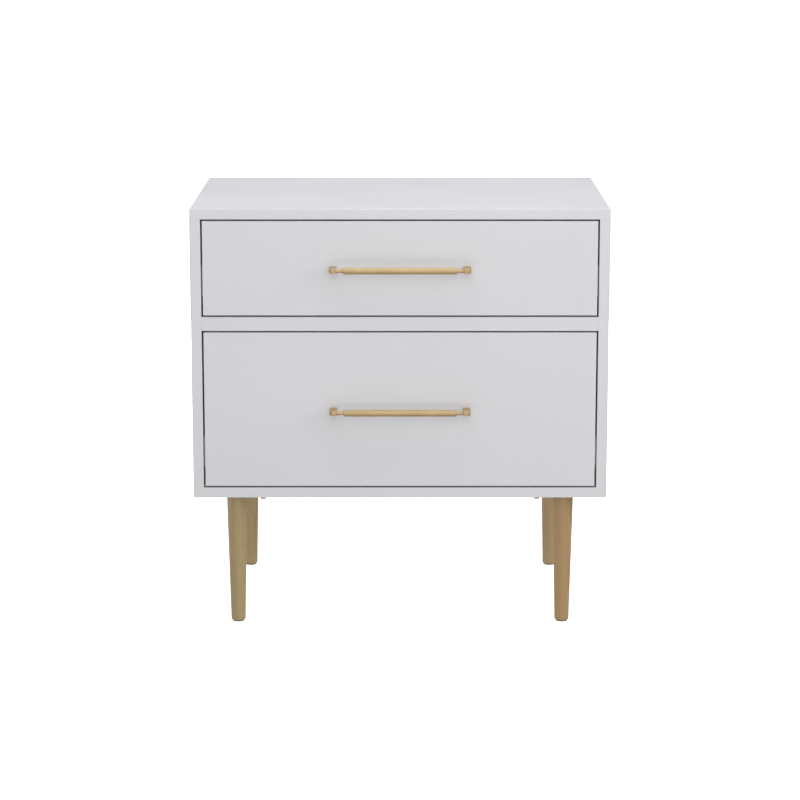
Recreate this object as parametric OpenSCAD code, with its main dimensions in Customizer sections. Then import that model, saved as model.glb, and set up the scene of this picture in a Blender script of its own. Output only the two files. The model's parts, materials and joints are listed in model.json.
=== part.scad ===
// Nightstand with two inset drawers on four turned legs.
// Millimetres. +Z is up, the drawers open towards -Y, and the origin is on the floor,
// below the middle of the overall size with the handles included.

/* [Case] */
// Overall width of the case
case_w = 600; // [420:1:900]
// Depth of the case, from its front edges to its back edges
case_d = 400; // [320:1:620]
// Height of the case without the legs
case_h = 422; // [340:1:700]
// Thickness of the top, bottom and side panels
panel_t = 15; // [15:1:25]
// Thickness of the rail between the two drawers
rail_t = 20; // [18:1:30]
// Depth of the rail, front to back
rail_d = 70; // [60:1:120]
// Height of the opening for the upper drawer
upper_open_h = 141; // [130:1:260]
// Thickness of the back board
back_t = 3; // [3:0.5:6]
// Distance from the back edges of the case to the back board
back_inset = 10; // [6:1:20]
// Depth of the grooves that hold the back board and the drawer bottoms
groove_depth = 6; // [4:0.5:7]

/* [Legs] */
// Height from the floor to the underside of the case
leg_h = 196; // [120:1:320]
// Diameter of a leg at its top
leg_top_d = 30; // [24:1:50]
// Diameter of a leg at its foot
leg_foot_d = 21; // [18:1:40]
// Distance from the side of the case to a leg's axis
leg_inset_x = 60.5; // [40:0.5:100]
// Distance from the front or back edge of the case to a leg's axis
leg_inset_y = 39; // [34:0.5:80]
// Thickness of the steel plate above a leg
plate_t = 2; // [1.5:0.5:4]
// Height of the nylon glide under a foot
glide_h = 2; // [1:0.5:5]

/* [Drawers] */
// Gap between a drawer front and the case, all round
reveal = 2.5; // [1.5:0.1:5]
// Thickness of a drawer front
front_t = 15; // [14:1:22]
// Thickness of a drawer's sides and back
box_t = 12; // [12:1:16]
// Thickness of a drawer's bottom board
box_bottom_t = 3; // [3:0.5:6]
// Height of a drawer box above the bottom of its opening
box_rise = 12; // [8:1:30]
// Room between a drawer box and the top of its opening
box_headroom = 28; // [10:1:60]
// Height of the bottom board's groove above a drawer box's lower edge
groove_rise = 10; // [8:1:16]

/* [Slides] */
// Side room that a slide takes between the case and a drawer box
slide_room = 12.7; // [12.7:0.1:14]
// Height of a slide's case member
slide_h = 45; // [40:1:60]
// Thickness of the slides' sheet steel
sheet_t = 1.2; // [1:0.1:1.5]
// Height of a slide's middle line above a drawer box's lower edge
slide_rise = 38; // [32:1:60]
// Diameter of the slides' steel balls
ball_d = 3; // [2.5:0.1:3.5]
// Balls in one row of a cage
balls_per_row = 8; // [3:1:12]

/* [Handles] */
// Distance between the two screws of a handle
handle_pitch = 192; // [96:16:256]
// Length of the thin neck between the grip and a post
neck_l = 9.5; // [6:0.5:16]
// Diameter of the grip
grip_d = 9.5; // [8:0.5:16]
// Diameter of the thin neck
neck_d = 5.4; // [5:0.1:8]
// Distance from the drawer front to the front of the grip
handle_reach = 30; // [24:1:45]
// Width of a handle's post, along the grip
post_w = 10.5; // [9:0.5:16]
// Thickness of a handle's post, up and down
post_t = 6.5; // [6:0.5:12]

/* [Hidden] */
$fn = 64;

// Clearances
pin_gap = 0.1;          // round a dowel, screw or pin in its hole, on the radius
groove_gap = 0.4;       // a board in its groove, on the thickness
groove_end_gap = 1;     // from a board's edge to the bottom of its groove
end_gap = 1;            // past the end of a dowel or screw in a blind hole
ball_gap = 0.25;        // between a ball and each track

// Places of the case
front_y = (handle_reach - case_d) / 2;
back_y = front_y + case_d;
case_bottom = leg_h;
case_top = leg_h + case_h;
inner_w = case_w - 2 * panel_t;
side_x = case_w / 2 - panel_t / 2;
lower_open_h = case_h - 2 * panel_t - rail_t - upper_open_h;
lower_open_z = case_bottom + panel_t;
rail_z = lower_open_z + lower_open_h;
upper_open_z = rail_z + rail_t;
rail_mid_z = rail_z + rail_t / 2;
side_z = case_bottom + panel_t;
side_top_z = case_top - panel_t;
back_board_y = back_y - back_inset - back_t;

// The two bays, each as [bottom of the opening, height of the opening]
UPPER = [upper_open_z, upper_open_h];
LOWER = [lower_open_z, lower_open_h];

// Case joints: cam bolts, dowels and long screws along a side panel's edges
joint_inset = 50;
dowel_offset = 32;
joint_ys = [front_y + joint_inset, back_y - joint_inset];
dowel_ys = [joint_ys[0] + dowel_offset, joint_ys[1] - dowel_offset];
dowel_r = 4;
dowel_l = 30;
dowel_in_face = 10;
cam_reach = 34;         // from a panel's edge to the middle of a cam
case_cam_d = 15;
case_cam_past = 4.5;    // how far a cam runs past the middle of its bolt
case_cam_h = panel_t / 2 + case_cam_past;
rail_cam_h = rail_t / 2 + case_cam_past;
bolt_thread_l = 11;
rail_bolt_y = front_y + 20;
rail_dowel_y = front_y + 48;
confirmat_l = 50;
confirmat_head_r = 5;
confirmat_head_h = 3;
confirmat_shank_r = 3.5;
confirmat_thread_r = 2.5;

// Leg fixings
leg_top_r = leg_top_d / 2;
plate_in = leg_top_r + 25;      // from the leg's axis to the screws towards the middle of the case
plate_side = leg_top_r + 8;
plate_out = leg_top_r + 1;
plate_screws = [[plate_in, -plate_side], [plate_in, plate_side], [-plate_out, plate_side]];
plate_corner_r = 7;
plate_leg_corner = [6 - leg_top_r, 6 - leg_top_r];
plate_hole_r = 2.4;
plate_screw_l = 11;
plate_screw_head_h = 3.2;
plate_screw_head_r = 4.7;
bushing_r = 6.5;
bushing_h = 9;
hanger_r = 3.95;
hanger_in_leg = 32;
hanger_in_case = 9;
foot_edge_r = 1.5;
glide_r = leg_foot_d / 2 - foot_edge_r;
glide_pin_r = 1.2;
glide_pin_l = 12;

// Drawer boxes
box_w = inner_w - 2 * slide_room;
front_w = inner_w - 2 * reveal;
box_y = front_y + front_t;
rear_clear = 6;
slide_step = 50;        // slides come in steps of this length
slide_l = slide_step * floor((back_board_y - box_y - rear_clear) / slide_step);
box_l = slide_l;
box_cam_reach = 24;
box_cam_d = 12;
box_cam_h = box_t / 2 + 3.5;
box_joint_inset = 24;
box_screw_rise = 7;     // above the drawer's bottom board
box_screw_inset = 14;   // below the box's top edge
box_screw_l = 38;
box_screw_r = 1.9;
box_screw_head_r = 3.6;
box_screw_head_h = 2;
box_screw_sink = 0.3;

// Slides: u runs from the side of the case to the drawer, w up from the slide's middle line
slide_y = box_y + 2;
stroke = slide_l - 10;  // how far a drawer opens
slide_screw_r = 1.75;
slide_screw_head_r = 3.6;
slide_screw_head_h = 1.4;
lip_h = 1.5;
outer_u = slide_room - 2.9;
mid_u0 = sheet_t + slide_screw_head_h + 0.4;
mid_u1 = slide_room - sheet_t - 0.9;
inner_u0 = mid_u0 + sheet_t + 1.4;
track_gap = ball_d + 2 * ball_gap;
outer_w = slide_h / 2;
mid_w = outer_w - sheet_t - track_gap;
inner_half = mid_w - sheet_t - track_gap;
outer_ball_w = mid_w + track_gap / 2;
inner_ball_w = inner_half + track_gap / 2;
outer_ball_u = outer_u / 2;
inner_ball_u = (mid_u0 + mid_u1) / 2;
cage_t = 0.6;
cage_half_w = 2.2;
cage_margin = 15;
cage_l = slide_l - stroke / 2 - 2 * cage_margin;
cage_y = slide_y + stroke / 4 + cage_margin;
slide_screw_inset = 37;
slide_screw_ys = [slide_screw_inset, slide_l / 2, slide_l - slide_screw_inset];
case_screw_l = 12;
box_slide_screw_l = 10;

// Handles
grip_y = front_y - handle_reach + grip_d / 2;
neck_end = (handle_pitch - post_w) / 2;
grip_end = neck_end - neck_l;
neck_flare_l = 4.5;
grip_chamfer = 0.6;
spigot_r = 2;
spigot_l = 6.5;
post_nose = 3.4;        // how far a post runs past the grip's axis
post_corner_r = 4.5;
handle_screw_r = 1.95;
post_web = 9.25;        // brass left between a handle screw's end and the spigot
handle_screw_in_post = handle_reach - grip_d / 2 - spigot_r - post_web;
handle_head_r = 4;
handle_head_h = 2.4;

PAINT = "#DCDCDE";
BOX_BOARD = "#E4E3E0";
BRASS = "#C9A66B";
LEG_WOOD = "#B8976A";
STEEL = "#B9BCC0";
NYLON = "#5D544B";
BEECH = "#D8B988";

// ---------- small helpers ----------

// A box from one corner to the opposite one
module block(low, high) translate(low) cube(high - low);
module square_between(low, high) translate(low) square(high - low);

// Children modelled along +Z, turned to point along X or Y
module along_x() rotate([0, 90, 0]) children();
module along_back_x() rotate([0, -90, 0]) children();
module along_y() rotate([-90, 0, 0]) children();
module along_front_y() rotate([90, 0, 0]) children();

// The left-hand thing and its mirror image on the right
module both_sides() {
    children();
    mirror([1, 0, 0]) children();
}

// A screw along +Z: its head is below z = 0 and its shank above
module pan_screw(l, r, head_r, head_h) {
    difference() {
        union() {
            cylinder(h = l, r = r);
            translate([0, 0, -head_h]) cylinder(h = head_h, r1 = head_r * 0.8, r2 = head_r);
        }
        translate([0, 0, -head_h - 0.01]) cross_recess(head_r, head_h * 0.5);
    }
}

module cross_recess(head_r, depth) {
    arm = head_r * 1.1;
    slot = head_r * 0.22;
    for (a = [0, 90]) rotate(a) translate([-arm / 2, -slot / 2, 0]) cube([arm, slot, depth]);
}

// A countersunk screw along +Z: the top of its head is flush with z = 0
module flat_screw(l, r, head_r, head_h) {
    difference() {
        union() {
            cylinder(h = l, r = r);
            cylinder(h = head_h, r1 = head_r, r2 = r);
        }
        translate([0, 0, -0.01]) cross_recess(head_r, head_h * 0.5);
    }
}

// The hole that a countersunk screw leaves
module flat_screw_hole(l, r, head_r, head_h) {
    translate([0, 0, -end_gap]) cylinder(h = l + 2 * end_gap, r = r + pin_gap);
    cylinder(h = head_h, r1 = head_r + pin_gap, r2 = r + pin_gap);
    translate([0, 0, -end_gap]) cylinder(h = end_gap + 0.01, r = head_r + pin_gap);
}

// ---------- cam fittings ----------
// A cam bolt runs along +Z from a panel's face at z = 0: its thread is below, its head above.
bolt_thread_r = 2.45;
bolt_neck_r = 2.2;
bolt_head_r = 3.2;
bolt_head_l = 3;

module cam_bolt(reach) {
    translate([0, 0, -bolt_thread_l]) cylinder(h = bolt_thread_l, r = bolt_thread_r);
    cylinder(h = reach - bolt_head_l, r = bolt_neck_r);
    cylinder(h = 1.5, r = bolt_head_r);
    translate([0, 0, reach - 2 * bolt_head_l]) cylinder(h = bolt_head_l, r = bolt_head_r);
}

module cam_bolt_face_hole() {
    translate([0, 0, -bolt_thread_l - end_gap])
        cylinder(h = bolt_thread_l + 2 * end_gap, r = bolt_thread_r + pin_gap);
}

module cam_bolt_edge_hole(reach) {
    translate([0, 0, -end_gap]) cylinder(h = reach + end_gap, r = bolt_head_r + 2 * pin_gap);
}

// A cam lies with its axis along +Z, its open face at z = 0 and its bolt coming from +X.
module cam_lock(d, h, bolt_z) {
    difference() {
        cylinder(h = h, d = d);
        translate([-bolt_head_r, 0, bolt_z]) along_x() cylinder(h = d, r = bolt_head_r + 3 * pin_gap);
        translate([0, 0, -0.01]) cross_recess(d * 0.33, h * 0.18);
    }
}

module cam_hole(d, h) {
    translate([0, 0, -end_gap]) cylinder(h = h + end_gap + pin_gap, d = d + 2 * pin_gap);
}

// ---------- case ----------

// Places that a side panel's upper edge shares with the top panel
module at_top_joints(ys) both_sides() for (y = ys) translate([-side_x, y, side_top_z]) children();
module at_bottom_joints(ys) both_sides() for (y = ys) translate([-side_x, y, side_z]) children();
module at_rail_end(y) both_sides() translate([-inner_w / 2, y, rail_mid_z]) children();

module dowel() translate([0, 0, -dowel_in_face]) cylinder(h = dowel_l, r = dowel_r);

module dowel_hole() {
    translate([0, 0, -dowel_in_face - end_gap]) cylinder(h = dowel_l + 2 * end_gap, r = dowel_r + pin_gap);
}

module back_groove(z) {
    block([-inner_w / 2 - groove_depth, back_board_y - groove_gap / 2, z],
          [inner_w / 2 + groove_depth, back_board_y + back_t + groove_gap / 2, z + groove_depth]);
}

module top_panel() {
    color(PAINT) difference() {
        block([-case_w / 2, front_y, side_top_z], [case_w / 2, back_y, case_top]);
        back_groove(side_top_z);
        at_top_joints(joint_ys) mirror([0, 0, 1]) cam_bolt_face_hole();
        at_top_joints(dowel_ys) mirror([0, 0, 1]) dowel_hole();
    }
}

module bottom_panel() {
    color(PAINT) difference() {
        block([-case_w / 2, front_y, case_bottom], [case_w / 2, back_y, case_bottom + panel_t]);
        back_groove(side_z - groove_depth);
        at_bottom_joints(joint_ys) confirmat_hole();
        at_bottom_joints(dowel_ys) dowel_hole();
        at_legs() {
            cylinder(h = bushing_h + end_gap, r = bushing_r + 2 * pin_gap);
            for (p = plate_screws) translate([p.x, p.y, -end_gap])
                cylinder(h = plate_screw_l - plate_t + 2 * end_gap, r = slide_screw_r + pin_gap);
        }
    }
}

// The left side panel; the right one is its mirror image
module side_panel() {
    color(PAINT) difference() {
        block([-case_w / 2, front_y, side_z], [-inner_w / 2, back_y, side_top_z]);
        block([-inner_w / 2 - groove_depth, back_board_y - groove_gap / 2, side_z - 1],
              [-inner_w / 2 + 1, back_board_y + back_t + groove_gap / 2, side_top_z + 1]);
        translate([-side_x, 0, side_top_z]) mirror([0, 0, 1]) {
            for (y = joint_ys) translate([0, y, 0]) cam_bolt_edge_hole(cam_reach);
            for (y = dowel_ys) translate([0, y, 0]) dowel_hole();
        }
        for (y = joint_ys) translate([-inner_w / 2, y, side_top_z - cam_reach])
            along_back_x() cam_hole(case_cam_d, case_cam_h);
        translate([-side_x, 0, side_z]) {
            for (y = joint_ys) translate([0, y, 0]) confirmat_hole();
            for (y = dowel_ys) translate([0, y, 0]) dowel_hole();
        }
        translate([-inner_w / 2, rail_bolt_y, rail_mid_z]) along_x() cam_bolt_face_hole();
        translate([-inner_w / 2, rail_dowel_y, rail_mid_z]) along_x() dowel_hole();
        for (bay = [UPPER, LOWER]) at_slide_screws(bay, -case_screw_l)
            cylinder(h = case_screw_l + end_gap, r = slide_screw_r + pin_gap);
    }
}

module left_side_panel() side_panel();
module right_side_panel() mirror([1, 0, 0]) side_panel();

module divider_rail() {
    color(PAINT) difference() {
        block([-inner_w / 2, front_y, rail_z], [inner_w / 2, front_y + rail_d, rail_z + rail_t]);
        at_rail_end(rail_bolt_y) along_x() cam_bolt_edge_hole(cam_reach);
        at_rail_end(rail_dowel_y) along_x() dowel_hole();
        at_rail_cams() cam_hole(case_cam_d, rail_cam_h);
    }
}

// The cams of the rail open downwards, so their own z = 0 is the rail's underside
module at_rail_cams() {
    both_sides() translate([-inner_w / 2 + cam_reach, rail_bolt_y, rail_z]) rotate(180) children();
}

module back_board() {
    into_groove = groove_depth - groove_end_gap;
    color(BOX_BOARD) block([-inner_w / 2 - into_groove, back_board_y, side_z - into_groove],
                           [inner_w / 2 + into_groove, back_board_y + back_t, side_top_z + into_groove]);
}

module case_cam_bolts() {
    color(STEEL) {
        at_top_joints(joint_ys) mirror([0, 0, 1]) cam_bolt(cam_reach);
        at_rail_end(rail_bolt_y) along_x() cam_bolt(cam_reach);
    }
}

module case_cam_locks() {
    color(STEEL) {
        both_sides() for (y = joint_ys) translate([-inner_w / 2, y, side_top_z - cam_reach])
            along_back_x() cam_lock(case_cam_d, case_cam_h, panel_t / 2);
        at_rail_cams() cam_lock(case_cam_d, rail_cam_h, rail_t / 2);
    }
}

module case_dowels() {
    color(BEECH) {
        at_top_joints(dowel_ys) mirror([0, 0, 1]) dowel();
        at_bottom_joints(dowel_ys) dowel();
        at_rail_end(rail_dowel_y) along_x() dowel();
    }
}

// A long screw goes up through the bottom panel into a side panel; z = 0 is where the two meet
module confirmat() {
    difference() {
        translate([0, 0, -panel_t]) {
            cylinder(h = confirmat_head_h, r = confirmat_head_r);
            cylinder(h = panel_t - 1, r = confirmat_shank_r);
            cylinder(h = confirmat_l, r = confirmat_thread_r);
        }
        translate([0, 0, -panel_t - 0.01]) cylinder(h = confirmat_head_h * 0.8, r = 2.3, $fn = 6);
    }
}

module confirmat_hole() {
    translate([0, 0, -panel_t]) {
        translate([0, 0, -end_gap]) cylinder(h = confirmat_head_h + end_gap, r = confirmat_head_r + pin_gap);
        cylinder(h = panel_t, r = confirmat_shank_r + pin_gap);
        cylinder(h = confirmat_l + end_gap, r = confirmat_thread_r + pin_gap);
    }
}

module bottom_panel_screws() color(STEEL) at_bottom_joints(joint_ys) confirmat();

// ---------- legs ----------
// Children are modelled under a left-hand leg: z = 0 is the underside of the case, +X points to
// the middle of the case and -Y to its nearer end.
module at_leg(right, back) {
    leg_y = back ? back_y - leg_inset_y : front_y + leg_inset_y;
    mirror([right, 0, 0]) translate([leg_inset_x - case_w / 2, leg_y, case_bottom])
        mirror([0, back, 0]) children();
}

module at_legs() for (right = [0, 1], back = [0, 1]) at_leg(right, back) children();

leg_l = leg_h - plate_t - glide_h;

// A turned leg: a straight taper with a rounded edge at the foot
module leg() {
    flat_r = leg_foot_d / 2 - foot_edge_r;
    foot_edge = [for (a = [0 : 15 : 90]) [flat_r + foot_edge_r * sin(a), foot_edge_r * (1 - cos(a))]];
    top_edge = [[leg_top_r, leg_l - 1], [leg_top_r - 1, leg_l]];
    color(LEG_WOOD) translate([0, 0, glide_h - leg_h]) difference() {
        rotate_extrude() polygon(concat([[0, 0]], foot_edge, top_edge, [[0, leg_l]]));
        translate([0, 0, leg_l - hanger_in_leg - end_gap])
            cylinder(h = hanger_in_leg + 2 * end_gap, r = hanger_r + pin_gap);
        translate([0, 0, -end_gap]) cylinder(h = glide_pin_l + 2 * end_gap, r = glide_pin_r + pin_gap);
    }
}

module front_left_leg() at_leg(0, 0) leg();
module front_right_leg() at_leg(1, 0) leg();
module back_left_leg() at_leg(0, 1) leg();
module back_right_leg() at_leg(1, 1) leg();

module leg_hanger_bolts() {
    color(STEEL) at_legs() translate([0, 0, -plate_t - hanger_in_leg])
        cylinder(h = hanger_in_leg + plate_t + hanger_in_case, r = hanger_r);
}

// A plate holds its leg near the outer end, in a threaded bushing that is let into the case
module leg_plates() {
    color(STEEL) at_legs() difference() {
        union() {
            translate([0, 0, -plate_t]) linear_extrude(plate_t)
                rounded_outline(concat([plate_leg_corner], plate_screws), plate_corner_r);
            translate([0, 0, -0.5]) cylinder(h = bushing_h + 0.5, r = bushing_r);
        }
        translate([0, 0, -plate_t - 1]) cylinder(h = plate_t + bushing_h + 2, r = hanger_r + pin_gap);
        for (p = plate_screws) translate([p.x, p.y, -plate_t - 1]) cylinder(h = plate_t + 2, r = plate_hole_r);
    }
}

// The angle of the outward normal of the edge from a to b, going round anticlockwise
function normal_angle(a, b) = atan2(a.x - b.x, b.y - a.y);

// A convex outline through rounded corners, each an arc of radius r in six steps
module rounded_outline(centres, r) {
    n = len(centres);
    polygon([for (i = [0 : n - 1])
        let (before = normal_angle(centres[(i + n - 1) % n], centres[i]))
        let (after = normal_angle(centres[i], centres[(i + 1) % n]))
        let (turn = (after - before + 360) % 360)
        for (step = [0 : 6]) centres[i] + r * [cos(before + turn * step / 6), sin(before + turn * step / 6)]]);
}

module leg_plate_screws() {
    color(STEEL) at_legs() for (p = plate_screws) translate([p.x, p.y, -plate_t])
        pan_screw(plate_screw_l, slide_screw_r, plate_screw_head_r, plate_screw_head_h);
}

module foot_glides() {
    color(NYLON) at_legs() translate([0, 0, -leg_h]) {
        cylinder(h = glide_h, r1 = glide_r - 0.5, r2 = glide_r);
        cylinder(h = glide_h + glide_pin_l, r = glide_pin_r);
    }
}

// ---------- slides ----------

function slide_z(bay) = bay[0] + box_rise + slide_rise;

// A sheet-steel channel's section, open towards +u, with lips turned in at its free edges
function channel(u0, u1, half) = let (flange = half - sheet_t, lip = flange - lip_h) [
    [u0, -half], [u1, -half], [u1, -lip], [u1 - sheet_t, -lip],
    [u1 - sheet_t, -flange], [u0 + sheet_t, -flange], [u0 + sheet_t, flange], [u1 - sheet_t, flange],
    [u1 - sheet_t, lip], [u1, lip], [u1, half], [u0, half]
];

// A section in u and w, drawn along the left-hand slide of a bay
module slide_rail(bay, y, l, points) {
    translate([-inner_w / 2, y + l, slide_z(bay)]) along_front_y() linear_extrude(l) polygon(points);
}

// Children pointing along +u at each fixing hole of the left-hand slide
module at_slide_screws(bay, u) {
    for (y = slide_screw_ys) translate([-inner_w / 2 + u, slide_y + y, slide_z(bay)]) along_x() children();
}

module slide_case_member(bay) {
    color(STEEL) difference() {
        slide_rail(bay, slide_y, slide_l, channel(0, outer_u, outer_w));
        at_slide_screws(bay, -1) cylinder(h = sheet_t + 2, r = slide_screw_r + 2 * pin_gap);
    }
}

// Round holes in the middle member let a screwdriver through to the case member's screws
module slide_middle_member(bay) {
    color(STEEL) difference() {
        slide_rail(bay, slide_y, slide_l, channel(mid_u0, mid_u1, mid_w));
        at_slide_screws(bay, mid_u0 - 1) cylinder(h = sheet_t + 2, r = slide_screw_head_r + 1);
    }
}

module slide_drawer_member(bay) {
    web_u = slide_room - sheet_t;
    color(STEEL) difference() {
        slide_rail(bay, box_y + 1, slide_l - 1, [
            [slide_room, -inner_half], [slide_room, inner_half], [inner_u0, inner_half],
            [inner_u0, inner_half - sheet_t], [web_u, inner_half - sheet_t],
            [web_u, -inner_half + sheet_t], [inner_u0, -inner_half + sheet_t], [inner_u0, -inner_half]]);
        at_slide_screws(bay, web_u - 1) cylinder(h = sheet_t + 2, r = slide_screw_r + 2 * pin_gap);
    }
}

module upper_left_slide_case_member() slide_case_member(UPPER);
module upper_right_slide_case_member() mirror([1, 0, 0]) slide_case_member(UPPER);
module lower_left_slide_case_member() slide_case_member(LOWER);
module lower_right_slide_case_member() mirror([1, 0, 0]) slide_case_member(LOWER);
module upper_left_slide_middle_member() slide_middle_member(UPPER);
module upper_right_slide_middle_member() mirror([1, 0, 0]) slide_middle_member(UPPER);
module lower_left_slide_middle_member() slide_middle_member(LOWER);
module lower_right_slide_middle_member() mirror([1, 0, 0]) slide_middle_member(LOWER);
module slide_drawer_members(bay) both_sides() slide_drawer_member(bay);

// Screws from inside a case member, through its web and into the side panel
module slide_case_screws() {
    color(STEEL) both_sides() for (bay = [UPPER, LOWER]) at_slide_screws(bay, sheet_t)
        mirror([0, 0, 1]) pan_screw(case_screw_l, slide_screw_r, slide_screw_head_r, slide_screw_head_h);
}

module slide_drawer_screws(bay) {
    color(STEEL) both_sides() at_slide_screws(bay, slide_room - sheet_t)
        pan_screw(box_slide_screw_l, slide_screw_r, slide_screw_head_r, slide_screw_head_h);
}

// Two strips with a row of balls each, above and below the slide's middle line
module ball_cages(bay, ball_u, ball_w) {
    pitch = cage_l / balls_per_row;
    ball_ys = [for (i = [0 : balls_per_row - 1]) (i + 0.5) * pitch];
    color(STEEL) both_sides() for (up = [-1, 1])
        translate([-inner_w / 2 + ball_u, cage_y, slide_z(bay) + up * ball_w]) {
            difference() {
                translate([-cage_half_w, 0, -cage_t / 2]) cube([2 * cage_half_w, cage_l, cage_t]);
                for (y = ball_ys) translate([0, y, -cage_t]) cylinder(h = 2 * cage_t, d = ball_d + 2 * pin_gap);
            }
            for (y = ball_ys) translate([0, y, 0]) sphere(d = ball_d);
        }
}

module outer_ball_cages(bay) ball_cages(bay, outer_ball_u, outer_ball_w);
module inner_ball_cages(bay) ball_cages(bay, inner_ball_u, inner_ball_w);

// ---------- drawers ----------

function box_z(bay) = bay[0] + box_rise;
function box_top(bay) = bay[0] + bay[1] - box_headroom;
function bottom_z(bay) = box_z(bay) + groove_rise;
function handle_z(bay) = bay[0] + bay[1] / 2;
function box_joint_zs(bay) = [box_z(bay) + box_joint_inset, box_top(bay) - box_joint_inset];
function box_screw_zs(bay) = [bottom_z(bay) + box_bottom_t + box_screw_rise, box_top(bay) - box_screw_inset];

// The space that the bottom board's groove takes in the sides, back and front
module bottom_groove(bay) {
    half = box_w / 2 - box_t + groove_depth;
    block([-half, box_y - groove_depth, bottom_z(bay) - groove_gap / 2],
          [half, box_y + box_l - box_t + groove_depth, bottom_z(bay) + box_bottom_t + groove_gap / 2]);
}

// Where a drawer side's front edge meets the front, for the cam bolts
module at_box_joints(bay) {
    both_sides() for (z = box_joint_zs(bay))
        translate([-box_w / 2 + box_t / 2, box_y, z]) along_y() children();
}

module at_handle_holes(bay) {
    for (x = [-1, 1]) translate([x * handle_pitch / 2, front_y + front_t, handle_z(bay)])
        along_front_y() children();
}

module drawer_front(bay) {
    color(PAINT) difference() {
        block([-front_w / 2, front_y, bay[0] + reveal],
              [front_w / 2, front_y + front_t, bay[0] + bay[1] - reveal]);
        bottom_groove(bay);
        at_box_joints(bay) cam_bolt_face_hole();
        at_handle_holes(bay) translate([0, 0, -1]) cylinder(h = front_t + 2, r = handle_screw_r + 2 * pin_gap);
    }
}

// The left side of a drawer box; the right one is its mirror image
module drawer_side(bay) {
    color(BOX_BOARD) difference() {
        block([-box_w / 2, box_y, box_z(bay)], [-box_w / 2 + box_t, box_y + box_l, box_top(bay)]);
        bottom_groove(bay);
        at_box_joints(bay) cam_bolt_edge_hole(box_cam_reach);
        at_box_cams(bay) cam_hole(box_cam_d, box_cam_h);
        at_box_screws(bay) box_screw_hole();
        at_slide_screws(bay, slide_room - sheet_t)
            cylinder(h = box_slide_screw_l + end_gap / 2, r = slide_screw_r + pin_gap);
    }
}

// The cams open towards the inside of the drawer
module at_box_cams(bay) {
    both_sides() for (z = box_joint_zs(bay))
        translate([-box_w / 2 + box_t, box_y + box_cam_reach, z]) along_back_x() rotate(-90) children();
}

// Screws through the sides into the ends of the back
module at_box_screws(bay) {
    both_sides() for (z = box_screw_zs(bay))
        translate([-box_w / 2, box_y + box_l - box_t / 2, z]) along_x() children();
}

module box_screw() {
    translate([0, 0, box_screw_sink]) flat_screw(box_screw_l, box_screw_r, box_screw_head_r, box_screw_head_h);
}

module box_screw_hole() {
    translate([0, 0, box_screw_sink])
        flat_screw_hole(box_screw_l, box_screw_r, box_screw_head_r, box_screw_head_h);
}

module drawer_back(bay) {
    color(BOX_BOARD) difference() {
        block([-box_w / 2 + box_t, box_y + box_l - box_t, box_z(bay)],
              [box_w / 2 - box_t, box_y + box_l, box_top(bay)]);
        bottom_groove(bay);
        at_box_screws(bay) box_screw_hole();
    }
}

module drawer_bottom(bay) {
    into_groove = groove_depth - groove_end_gap;
    half = box_w / 2 - box_t + into_groove;
    color(BOX_BOARD) block([-half, box_y - into_groove, bottom_z(bay)],
                           [half, box_y + box_l - box_t + into_groove, bottom_z(bay) + box_bottom_t]);
}

module drawer_cam_bolts(bay) color(STEEL) at_box_joints(bay) cam_bolt(box_cam_reach);
module drawer_cam_locks(bay) color(STEEL) at_box_cams(bay) cam_lock(box_cam_d, box_cam_h, box_t / 2);
module drawer_box_screws(bay) color(STEEL) at_box_screws(bay) box_screw();

// ---------- handles ----------

// One turned bar: a thick grip, a neck that flares to each post, and a spigot in each post
module handle_bar(bay) {
    grip_r = grip_d / 2;
    neck_r = neck_d / 2;
    right_half = [
        [0, grip_r], [grip_end - grip_chamfer, grip_r], [grip_end, grip_r - grip_chamfer], [grip_end, neck_r],
        [neck_end - neck_flare_l, neck_r], [neck_end, post_t / 2],
        [neck_end, spigot_r], [neck_end + spigot_l, spigot_r], [neck_end + spigot_l, 0], [0, 0]
    ];
    color(BRASS) translate([0, grip_y, handle_z(bay)]) both_sides()
        along_x() rotate_extrude() polygon([for (p = right_half) [p[1], p[0]]]);
}

// A flat post, rounded at its outer front corner and drilled for the bar's spigot and its screw
module handle_posts(bay) {
    nose_y = grip_y - post_nose;
    color(BRASS) both_sides() translate([-handle_pitch / 2, 0, handle_z(bay)]) difference() {
        translate([0, 0, -post_t / 2]) linear_extrude(post_t) {
            square_between([-post_w / 2, nose_y + post_corner_r], [post_w / 2, front_y]);
            square_between([-post_w / 2 + post_corner_r, nose_y], [post_w / 2, nose_y + post_corner_r + 1]);
            translate([-post_w / 2 + post_corner_r, nose_y + post_corner_r]) circle(post_corner_r);
        }
        translate([post_w / 2 - spigot_l - end_gap, grip_y, 0])
            along_x() cylinder(h = spigot_l + 2 * end_gap, r = spigot_r + pin_gap);
        translate([0, front_y + end_gap, 0]) along_front_y()
            cylinder(h = handle_screw_in_post + 2 * end_gap, r = handle_screw_r + pin_gap);
    }
}

module handle_screws(bay) {
    color(STEEL) at_handle_holes(bay)
        pan_screw(front_t + handle_screw_in_post, handle_screw_r, handle_head_r, handle_head_h);
}

// ---------- the parts, one node each ----------

top_panel();
bottom_panel();
left_side_panel();
right_side_panel();
divider_rail();
back_board();
case_cam_bolts();
case_cam_locks();
case_dowels();
bottom_panel_screws();

front_left_leg();
front_right_leg();
back_left_leg();
back_right_leg();
leg_hanger_bolts();
leg_plates();
leg_plate_screws();
foot_glides();

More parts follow.
